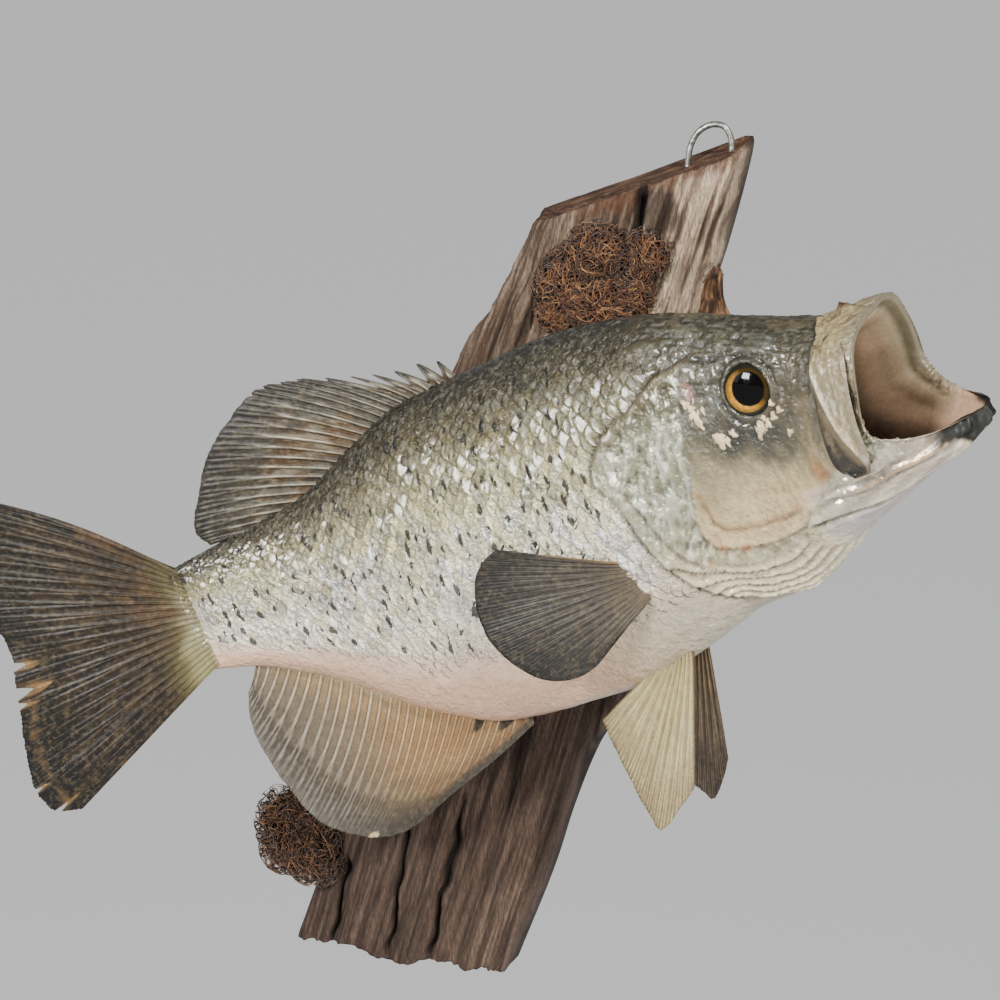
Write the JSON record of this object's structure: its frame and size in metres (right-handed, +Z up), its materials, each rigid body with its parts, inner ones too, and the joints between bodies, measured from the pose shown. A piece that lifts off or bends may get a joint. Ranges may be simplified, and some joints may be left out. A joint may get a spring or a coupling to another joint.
{
  "type": "mounted crappie on driftwood",
  "caption": "Deep-bodied panfish mount with gaping mouth and spread fins, curved on a leaning slab of weathered driftwood with moss and a wire hanging loop.",
  "frame": {"origin": "on the flat back of the driftwood, in the wall's plane, near the middle of the wood's height, where the fish is fixed to its front", "axes": "+Z up the wall, +Y into the wall, +X to the right as seen from the room, the side the fish's head points to"},
  "size_m": [0.4036, 0.1231, 0.358],
  "materials": {
    "skin": "lacquered scaled fish skin, olive back and silver flanks",
    "gill_plate": "crinkled silvery skin over bone",
    "jaw": "cream and tan lacquered skin",
    "jaw_bone": "tan bone plate under thin skin",
    "fin_dark": "dark brown rayed fin membrane, lacquered",
    "fin_pale": "cream-olive rayed fin membrane",
    "eye": "glass eye, black pupil in an amber ring",
    "wood": "weathered grey-brown driftwood",
    "moss": "dry brown curled moss",
    "steel": "bent galvanised wire"
  },
  "bodies": {
    "root": {"trunk": "skin", "tail_stalk": "skin", "head": "skin", "lower_jaw": "jaw", "gill_cover_right": "gill_plate", "gill_cover_left": "gill_plate", "maxilla_right": "jaw_bone", "maxilla_left": "jaw_bone", "eye_right": "eye", "eye_left": "eye", "dorsal_fin": "fin_dark", "anal_fin": "fin_dark", "caudal_fin": "fin_dark", "pectoral_fin_right": "fin_dark", "pectoral_fin_left": "fin_dark", "pelvic_fin_right": "fin_pale", "pelvic_fin_left": "fin_dark", "driftwood": "wood", "bark_chip": "wood", "moss_upper": "moss", "moss_lower": "moss", "hanger_loop": "steel"}
  },
  "joints": []
}
